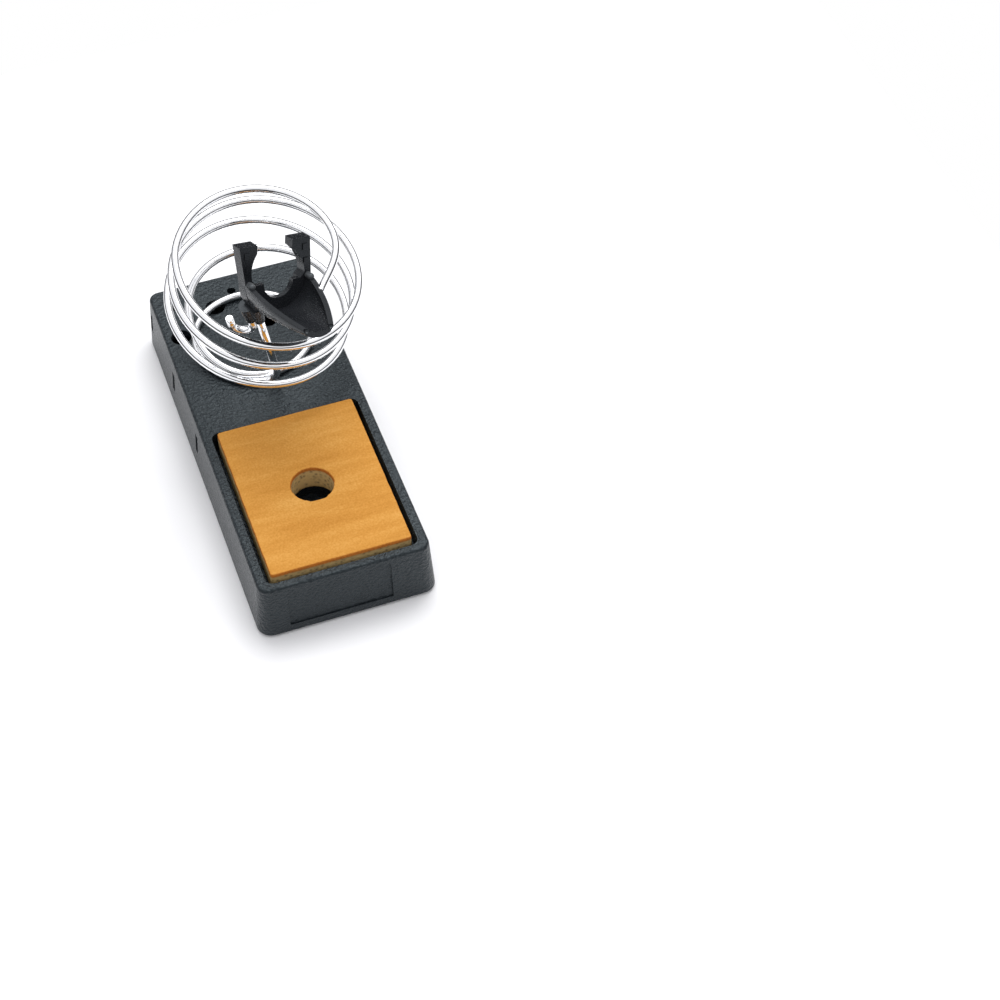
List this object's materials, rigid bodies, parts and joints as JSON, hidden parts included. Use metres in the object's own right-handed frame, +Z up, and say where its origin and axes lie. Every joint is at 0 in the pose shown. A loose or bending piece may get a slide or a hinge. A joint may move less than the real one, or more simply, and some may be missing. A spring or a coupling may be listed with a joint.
{
  "type": "soldering iron stand",
  "caption": "Bench stand for a soldering iron: heavy drafted base with a sponge pocket, tip holes, and a leaning bent-wire coil carrying a forked plastic guide.",
  "frame": {"origin": "centre of the bottom plate's underside, which is flush with the housing's lower rim; the feet reach 1.4 mm lower", "axes": "+Z up, +Y towards the coil end (back), -Y towards the sponge end (front), +X to the right seen from the front"},
  "size_m": [0.0764, 0.1676, 0.1062],
  "materials": {
    "cast_black": "textured satin powder coat on a die casting",
    "zinc_sheet": "zinc plated sheet",
    "screw_steel": "zinc plated",
    "foot_rubber": "matt black rubber",
    "ballast_iron": "raw steel plate",
    "sponge_foam": "orange cellulose sponge, fine pores",
    "bright_wire": "bright plated spring wire",
    "guide_plastic": "satin black heat-resistant moulding",
    "pin_plastic": "satin dark grey"
  },
  "bodies": {
    "stand": {"base_housing": "cast_black", "bottom_plate": "zinc_sheet", "bottom_screws": "screw_steel", "foot_front_left": "foot_rubber", "foot_front_right": "foot_rubber", "foot_rear_left": "foot_rubber", "foot_rear_right": "foot_rubber", "ballast_plate": "ballast_iron", "ballast_screws": "screw_steel", "coil_wire": "bright_wire", "ring_clip": "screw_steel", "clip_screw": "screw_steel", "clip_nut": "screw_steel", "iron_yoke": "guide_plastic", "yoke_pins": "pin_plastic", "guide_trough": "guide_plastic", "funnel_hook": "bright_wire"},
    "sponge": {"sponge": "sponge_foam"}
  },
  "joints": [
    {"name": "sponge_lift", "type": "slide", "parent": "stand", "child": "sponge", "axis": [0, 0, 1], "range_m": [0, 0.012]}
  ]
}
